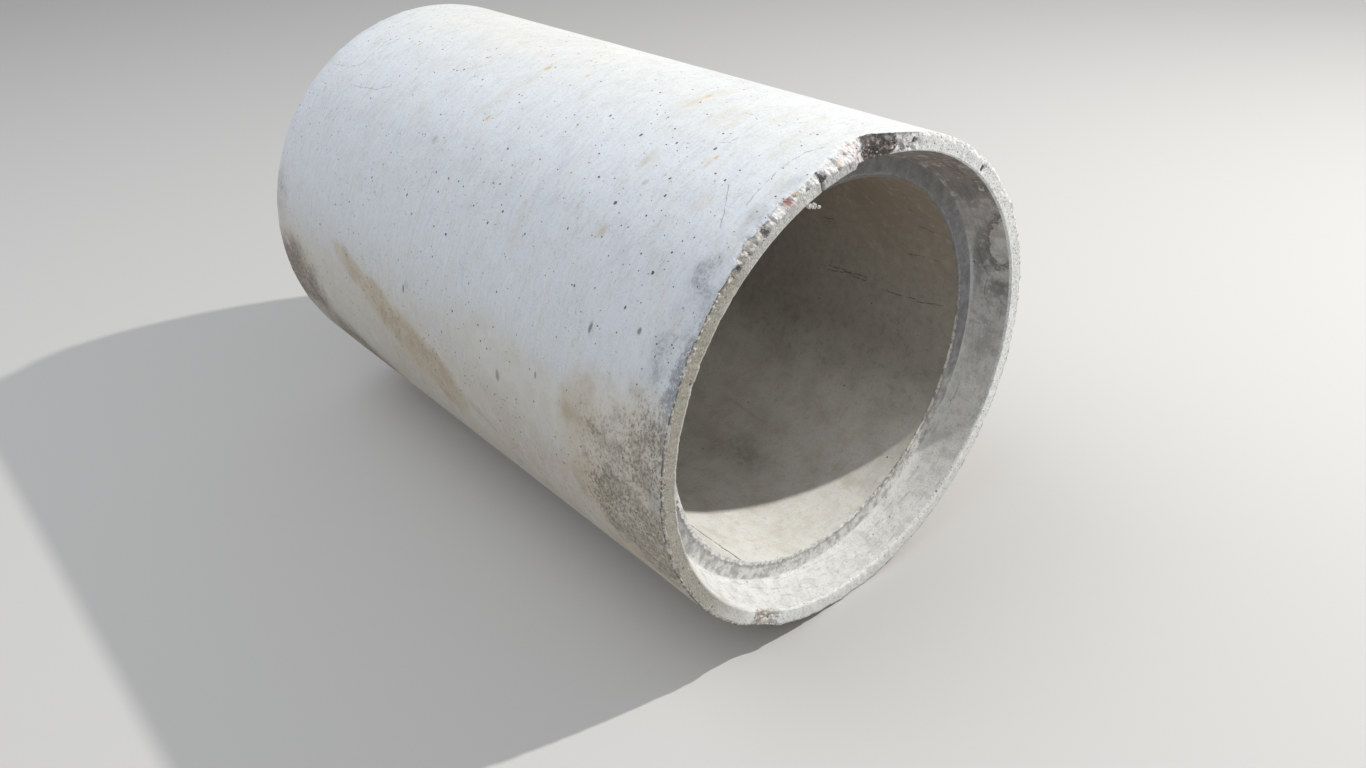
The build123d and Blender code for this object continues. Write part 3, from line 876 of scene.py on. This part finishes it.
def shoulder_concrete():
    """The groove's shoulder and the rough fin of grout along the bore's edge."""
    sh = Shader("shoulder_concrete")
    fine = sh.noise(0.002, 3, 0.65)
    lumps = sh.noise(0.008, 4, 0.65)
    uneven = sh.sway(sh.noise(0.07, 3), 0.15)
    mottle = sh.noise(0.015, 5, 0.68)
    sh.colour = sh.fade(mottle, 0.35, 0.65, (0.36, 0.36, 0.37), (0.25, 0.25, 0.26))
    high = sh.rise(sh.add(sh.z, uneven), 0.12, 0.24)
    sh.coat(high, sh.fade(mottle, 0.35, 0.6, (0.27, 0.265, 0.255), (0.2, 0.195, 0.185)))
    low = sh.rise(sh.add(sh.z, uneven), -0.06, -0.2)
    sh.coat(low, sh.fade(mottle, 0.4, 0.62, (0.76, 0.755, 0.72), (0.46, 0.45, 0.425)))
    ragged_r = sh.add(sh.r, sh.sway(lumps, 14 * MM))
    fin = sh.rise(ragged_r, BORE_R + 6.5 * MM, BORE_R + 4.5 * MM)
    white_fin = sh.fade(lumps, 0.42, 0.62, (0.88, 0.87, 0.84), (0.58, 0.57, 0.54))
    tan_fin = sh.fade(lumps, 0.44, 0.58, (0.74, 0.68, 0.58), (0.22, 0.195, 0.17))
    white_fin = sh.mix(sh.rise(sh.y, 0.06, 0.16, 0.75), white_fin, tan_fin)
    sh.coat(sh.times(fin, sh.rise(sh.z, 0.12, -0.08, 0.95, 0.2)), white_fin)
    # Painted shadow: a dark line on the shoulder along the fin, fading out low down.
    edge_shadow = sh.rise(ragged_r, BORE_R + 4 * MM, BORE_R + 2 * MM)
    sh.coat(sh.times(edge_shadow, sh.rise(sh.z, -0.08, 0.06, 0.65)), (0.17, 0.165, 0.16))
    foot = sh.rise(ragged_r, BORE_R + 5 * MM, BORE_R + 7 * MM)
    foot = sh.times(foot, sh.rise(ragged_r, BORE_R + 12 * MM, BORE_R + 8 * MM, 0.5))
    sh.coat(foot, (0.25, 0.245, 0.24))
    sh.coat(sh.rise(fine, 0.5, 0.75, 0.15), (0.2, 0.195, 0.19))
    return sh.finish(1.6 * MM, ((lumps, 1.0), (fine, 0.25)), 0.93)


# Marks in the bore, in mm from the lip's face and places
BORE_SEAM = [[(-1200, SEAM_PLACE), (-66, SEAM_PLACE)]]
BORE_LINES = [
    [(-349, -4.7), (-320, -3.8), (-288, -2.3), (-257, -1.8)],
    [(-347, -3.2), (-321, -2.3), (-281, -3.4), (-259, -3)], [(-166, 12.9), (-131, 14.4), (-98, 14.5)],
    [(-212, -3.8), (-182, -3.3), (-150, -2.6)], [(-134, 34.3), (-115, 32)],
    [(-354, 15.1), (-328, 15.6)], [(-128, 27.2), (-103, 26.2)], [(-147, -3.4), (-120, -2), (-92, -1)],
]
BORE_STAINS = [
    (-250, 40, 60, 120, 0, 0.25), (-420, -30, 90, 120, 30, 0.15), (-320, -79, 90, 52, -30, 0.5),
    (-400, -80, 110, 40, -10, 0.25), (-400, -64, 80, 6, -4, 0.3),
]


def bore_concrete():
    """The bore: grey-tan concrete with short scratches, browner above, and paler along the bottom with dust
    and painted sunlight.
    """
    sh = Shader("bore_concrete")
    sh.inside(BORE_R)
    fine = sh.noise(0.003, 3, 0.6)
    patchy = sh.noise(0.05, 4, 0.6)
    broad = sh.noise(0.2, 3)
    streak = sh.noise(0.004, 4, 0.6, round_it=10)
    mottle = sh.noise(0.016, 6, 0.72, seed=8.0)
    scratch = sh.rise(sh.noise(0.002, 2, 0.5, along=12, seed=5.0), 0.72, 0.77)
    sh.colour = sh.fade(broad, 0.35, 0.65, (0.415, 0.395, 0.35), (0.39, 0.37, 0.33))
    high = sh.rise(sh.add(sh.z, sh.sway(broad, 0.1)), -0.16, 0.3)
    sh.coat(high, (0.305, 0.24, 0.175))
    # Paler along the bottom: partly dust, partly painted sunlight.
    low = sh.rise(sh.add(sh.z, sh.sway(patchy, 0.05)), -0.1, -0.27)
    sh.coat(low, sh.fade(patchy, 0.35, 0.7, (0.88, 0.87, 0.82), (0.8, 0.785, 0.72)))
    yellow = sh.rise(sh.noise(0.035, 5, 0.7, seed=3.0), 0.5, 0.68, 0.45)
    sh.coat(sh.times(yellow, low), (0.7, 0.645, 0.5))
    sh.coat(sh.rise(patchy, 0.45, 0.75, 0.1), (0.25, 0.235, 0.21))
    dark_mottle = sh.times(sh.rise(mottle, 0.51, 0.62, 0.36), sh.rise(low, 0.0, 1.0, 0.15, 1.0))
    sh.coat(dark_mottle, (0.235, 0.225, 0.195))
    sh.coat(sh.rise(mottle, 0.47, 0.37, 0.24), (0.55, 0.535, 0.48))
    sh.coat(sh.rise(streak, 0.52, 0.72, 0.1), (0.22, 0.205, 0.185))
    smudge = sh.times(sh.stain(BORE_STAINS, 0.0), sh.rise(mottle, 0.4, 0.56, 1.0, 0.35))
    sh.coat(smudge, (0.215, 0.185, 0.145))
    sh.coat(sh.rise(fine, 0.5, 0.75, 0.25), (0.22, 0.21, 0.19))
    sh.coat(sh.times(scratch, sh.rise(low, 0.0, 1.0, 0.12, 0.4)), (0.12, 0.11, 0.1))
    lines = sh.hairlines(BORE_LINES, 1.5 * MM)
    lines = sh.larger(lines, sh.times(sh.hairlines(BORE_SEAM, 2.0 * MM), 2.0))
    sh.coat(lines, (0.1, 0.09, 0.08), 0.8)
    holes = pits(sh, ((0.03, 0.0022, 0.6, 0.0), (0.01, 0.001, 0.6, 3.0)))
    sh.coat(holes, (0.09, 0.085, 0.08), 0.8)
    heights = (streak, 0.4), (fine, 0.3), (holes, -1.0), (scratch, -0.3)
    return sh.finish(1.0 * MM, heights, sh.rise(patchy, 0.3, 0.7, 0.9, 0.72))


def tongue_concrete():
    """The far joint: plain grey concrete with air holes, a little soiled low down."""
    sh = Shader("tongue_concrete")
    fine = sh.noise(0.0025, 3, 0.6)
    patchy = sh.noise(0.03, 4, 0.6)
    streak = sh.noise(0.004, 4, 0.6, round_it=9)
    sh.colour = sh.fade(patchy, 0.35, 0.7, (0.62, 0.615, 0.59), (0.48, 0.475, 0.45))
    sh.coat(sh.rise(sh.z, 0.0, -0.3, 0.6), (0.42, 0.385, 0.335))
    sh.coat(sh.rise(streak, 0.5, 0.72, 0.35), (0.36, 0.35, 0.33))
    sh.coat(sh.rise(fine, 0.48, 0.75, 0.4), (0.33, 0.325, 0.31))
    holes = pits(sh, ((0.02, 0.0026, 0.6, 0.0), (0.008, 0.0012, 0.7, 3.0)))
    sh.coat(holes, (0.12, 0.115, 0.11), 0.8)
    return sh.finish(1.3 * MM, ((patchy, 0.8), (fine, 0.5), (holes, -1.0)), 0.92)


def crevice_shade():
    """Painted shade: the dark insides of the hollows and cracks in the lip, where shade falls."""
    sh = Shader("crevice_shade")
    fine = sh.noise(0.002, 3, 0.65)
    sh.colour = sh.fade(fine, 0.4, 0.65, (0.3, 0.285, 0.275), (0.15, 0.14, 0.135))
    return sh.finish(1.5 * MM, ((fine, 1.0),), 0.95)


def stone_colour(name, light, dark, grain_size=0.0015):
    """The skin of loose or exposed stones of one colour."""
    sh = Shader(name)
    fine = sh.noise(grain_size, 3, 0.65)
    sh.colour = sh.fade(fine, 0.35, 0.65, light, dark)
    return sh.finish(0.7 * MM, ((fine, 1.0),), 0.9)


def add_piece(name, mesh):
    """Puts a piece in the scene: it rides with the pipe and stands for its CAD node."""
    piece = bpy.data.objects.new(name, mesh)
    bpy.context.scene.collection.objects.link(piece)
    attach(piece, "root")
    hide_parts("concrete_pipe")
    return piece


def inside_the_pipe(point):
    """The point, or the nearest one to it that isn't outside the pipe's own cylinder."""
    y, z = point.y, point.z - BARREL_R
    shrink = min(1.0, (BARREL_R - 0.1 * MM) / max(math.hypot(y, z), 1e-9))
    return Vector((min(point.x, FACE_X - 0.05 * MM), y * shrink, BARREL_R + z * shrink))


def add_stone(bm, chance, middle, size, material_index):
    """One angular stone, half sunk in the concrete at its middle."""
    made = bmesh.ops.create_icosphere(bm, subdivisions=1, radius=1.0)["verts"]
    angle = chance.uniform(0, 6.28)
    axis = Vector([chance.uniform(-1, 1) for _ in range(3)]).normalized()
    turn = Matrix.Rotation(angle, 3, axis)
    stretch = Vector([chance.uniform(0.65, 1.25) for _ in range(3)])
    for v in made:
        bump = 1 + chance.uniform(-0.22, 0.22)
        away = Vector([c * s * size * bump for c, s in zip(v.co, stretch)])
        v.co = inside_the_pipe(middle + turn @ away)
    for face in {f for v in made for f in v.link_faces}:
        face.material_index = material_index


# Stones left standing in the broken faces: from place to place, how many, their radius in mm from
# and to, the share of the way from the barrel's edge to the mouth they reach, and their colours
# as indices: pale, grey, dark, pink, brown, cream
STONES = [
    (82.5, 91.5, 110, 0.7, 2, 1, (2, 2, 1, 1, 2, 4)), (76.5, 82.5, 90, 0.7, 1.8, 1, (0, 0, 0, 1, 1, 2)),
    (96, 118, 80, 0.5, 1.3, 0.3, (0, 0, 0, 0, 1, 2)), (118, 134, 40, 0.5, 1.3, 0.2, (0, 0, 1, 1, 2)),
    (231, 242, 34, 0.5, 1.3, 0.8, (0, 0, 1, 3, 5)), (20, 75, 80, 0.5, 1.3, 0.18, (0, 0, 1, 2, 3)),
    (-60, 20, 60, 0.5, 1, 0.1, (0, 0, 1, 1)), (134, 230, 260, 0.7, 2.2, 0.24, (0, 0, 0, 0, 1, 3, 4)),
    (245, 299, 90, 0.5, 1.4, 0.15, (0, 0, 1, 1)),
]

# Single stones: the place, the share of the way in, the radius in mm and the colour
PLACED_STONES = [
    (113.6, 0.1, 3, 3), (114.3, 0.22, 2.2, 3), (112.8, 0.2, 2.4, 4), (111.3, 0.12, 3.2, 5),
    (110.7, 0.26, 2, 5), (79.4, 0.05, 1.8, 3), (77.2, 0.3, 2.6, 2), (97.2, 0.1, 1.8, 3),
    (96, 0.2, 1.6, 3), (236, 0.3, 1.8, 5), (234.2, 0.15, 1.5, 3), (238.8, 0.5, 1.4, 4),
    (104.2, 0.3, 2.6, 2), (104, 0.6, 2.2, 4),
]

# A crumb of mortar that hangs from the mouth's edge: x in mm from the face, radius in mm, place, size
CRUMB = [
    (-5, 349.5, 109.5, 3.9), (-3, 345.5, 108.8, 2.7), (-5, 342.5, 107.9, 4.2), (-3, 338.6, 107.1, 2.4),
    (-6, 345, 108, 3), (-7, 348, 108.8, 3.3),
]


def exposed_stones(edge):
    """Stones and crumbs that stand out of the broken and crumbled edges."""
    chance = random.Random(11)

    def spot(place, share):
        place = (place + 90) % 360 - 90
        measures = edge.along, edge.across, edge.back_corner, edge.back_mouth
        along, across, corner, mouth = [np.interp(place, edge.place, v) for v in measures]
        corner_r = BARREL_R - across
        if share < 0.3:
            t = share / 0.3
            x = FACE_X - along + (along - corner) * t
            return on_pipe(x - 1.2 * MM, BARREL_R + (corner_r - BARREL_R) * t - 1.2 * MM, place)
        t = (share - 0.3) / 0.7
        x = FACE_X - corner + (corner - mouth) * t
        return on_pipe(x - 1.4 * MM, corner_r + (MOUTH_R - corner_r) * t, place)

    bm = bmesh.new()
    for start, end, count, small, large, reach, colours in STONES:
        for _ in range(count):
            middle = spot(chance.uniform(start, end), chance.uniform(0, reach))
            size = small + (large - small) * chance.random() ** 2
            add_stone(bm, chance, middle, size * MM, chance.choice(colours))
    for place, share, size, colour in PLACED_STONES:
        add_stone(bm, chance, spot(place, share), size * MM, colour)
    for x, r, place, size in CRUMB:
        add_stone(bm, chance, on_pipe(FACE_X + x * MM, r * MM, place), size * MM, 0)
    mesh = bpy.data.meshes.new("exposed_stones")
    bm.to_mesh(mesh)
    bm.free()
    for name, light, dark in (
        ("pale_stone", (0.82, 0.8, 0.77), (0.62, 0.6, 0.57)),
        ("grey_stone", (0.5, 0.49, 0.48), (0.34, 0.33, 0.33)),
        ("dark_stone", (0.22, 0.205, 0.2), (0.11, 0.1, 0.1)),
        ("pink_stone", (0.55, 0.4, 0.37), (0.38, 0.25, 0.23)),
        ("brown_stone", (0.34, 0.25, 0.2), (0.2, 0.13, 0.1)),
        ("cream_stone", (0.78, 0.69, 0.52), (0.62, 0.53, 0.38)),
    ):
        mesh.materials.append(stone_colour(name, light, dark))
    return add_piece("exposed_stones", mesh)


# Burrs of mortar that hang from the broken edges: points of x in mm from the face, radius in mm
# and place, and the thickness in mm
BURRS = [
    ([(-24, 372, 94.7), (-20, 366, 93.6), (-19, 364, 92), (-21, 363, 91.2)], 0.8),
    ([(-12, 357, 95.4), (-14, 354, 94), (-17, 350, 92.8)], 0.6),
    ([(-6, 358, 106), (-9, 354, 105.6), (-12, 350, 105.2)], 0.6),
    ([(-20, 378, 95.4), (-23, 373, 94.7), (-19, 367, 94.2), (-14, 361, 94.6)], 1.3),
]


def mortar_burrs():
    """Thin threads of mortar along the break's steep wall, and one in the crack beside it."""
    bm = bmesh.new()
    sides = 6
    for points, thick in BURRS:
        spots = [on_pipe(FACE_X + x * MM, r * MM, place) for x, r, place in points]
        previous = None
        for k, spot in enumerate(spots):
            along = (spots[min(k + 1, len(spots) - 1)] - spots[max(k - 1, 0)]).normalized()
            side = along.orthogonal().normalized()
            other = along.cross(side)
            radius = thick * MM * (1 - 0.6 * k / (len(spots) - 1)) / 2
            ring = []
            for s in range(sides):
                a = 2 * math.pi * s / sides
                offset = (side * math.cos(a) + other * math.sin(a)) * radius
                ring.append(bm.verts.new(inside_the_pipe(spot + offset)))
            if previous:
                for s in range(sides):
                    t = (s + 1) % sides
                    bm.faces.new((previous[s], previous[t], ring[t], ring[s])).smooth = True
            else:
                bm.faces.new(tuple(reversed(ring)))
            previous = ring
        bm.faces.new(previous)
    mesh = bpy.data.meshes.new("mortar_burrs")
    bm.to_mesh(mesh)
    bm.free()
    mesh.materials.append(stone_colour("burr_mortar", (0.78, 0.72, 0.66), (0.6, 0.52, 0.46)))
    return add_piece("mortar_burrs", mesh)


edge = build_rings()
add_piece("weathered_pipe", pipe_mesh([
    weathered_barrel(), broken_concrete(), lip_face(), groove_concrete(),
    shoulder_concrete(), bore_concrete(), tongue_concrete(), crevice_shade(),
]))
exposed_stones(edge)
mortar_burrs()

# Camera: the photograph's place, aim and roll, worked out in the pipe's own frame
CAMERA_AT = Vector((FACE_X + 0.8332, -1.0108, 1.2319))
CAMERA_AHEAD = Vector((-0.6563, 0.5326, -0.5345))
CAMERA_RIGHT = Vector((0.6536, 0.7552, -0.05))
LENS_MM = 28.06

camera_data = bpy.data.cameras.new("camera")
camera_data.lens = LENS_MM
camera_data.sensor_width = 36
camera_data.clip_end = 60
camera = bpy.data.objects.new("camera", camera_data)
bpy.context.scene.collection.objects.link(camera)
ahead = CAMERA_AHEAD.normalized()
right = (CAMERA_RIGHT - ahead * CAMERA_RIGHT.dot(ahead)).normalized()
up = right.cross(ahead)
turn = Matrix((right, up, -ahead)).transposed().to_4x4()
camera.matrix_world = Matrix.Translation(CAMERA_AT) @ turn
bpy.context.scene.camera = camera


def pale_floor():
    bpy.ops.mesh.primitive_plane_add(size=40, location=(0, 0, 0))
    plane = bpy.context.object
    plane.name = "floor"
    material = bpy.data.materials.new("floor")
    material.use_nodes = True
    skin = material.node_tree.nodes["Principled BSDF"]
    skin.inputs["Base Color"].default_value = (0.6, 0.59, 0.575, 1)
    skin.inputs["Roughness"].default_value = 0.95
    plane.data.materials.append(material)


def lamp(name, towards, distance, size, watts, colour):
    """A square area lamp that lights the middle of the pipe from a direction."""
    data = bpy.data.lights.new(name, "AREA")
    data.shape = "SQUARE"
    data.size = size
    data.energy = watts
    data.color = colour
    o = bpy.data.objects.new(name, data)
    aim = Vector((0.2, 0, BARREL_R))
    direction = Vector(towards).normalized()
    o.location = aim + direction * distance
    o.rotation_euler = direction.to_track_quat("Z", "Y").to_euler()
    bpy.context.scene.collection.objects.link(o)


def from_sky(azimuth, elevation):
    """A direction from degrees round from +X towards +Y, and degrees up."""
    a, e = math.radians(azimuth), math.radians(elevation)
    return math.cos(e) * math.cos(a), math.cos(e) * math.sin(a), math.sin(e)


pale_floor()
lamp("key_lamp", from_sky(58, 43), distance=5, size=0.1, watts=205, colour=(1, 0.985, 0.955))
lamp("fill_lamp", from_sky(-120, 60), distance=6, size=5, watts=150, colour=(0.93, 0.965, 1))

world = bpy.data.worlds.new("studio")
world.use_nodes = True
world.node_tree.nodes["Background"].inputs["Color"].default_value = (0.95, 0.97, 1, 1)
world.node_tree.nodes["Background"].inputs["Strength"].default_value = 0.42
bpy.context.scene.world = world
bpy.context.scene.view_settings.view_transform = "Standard"
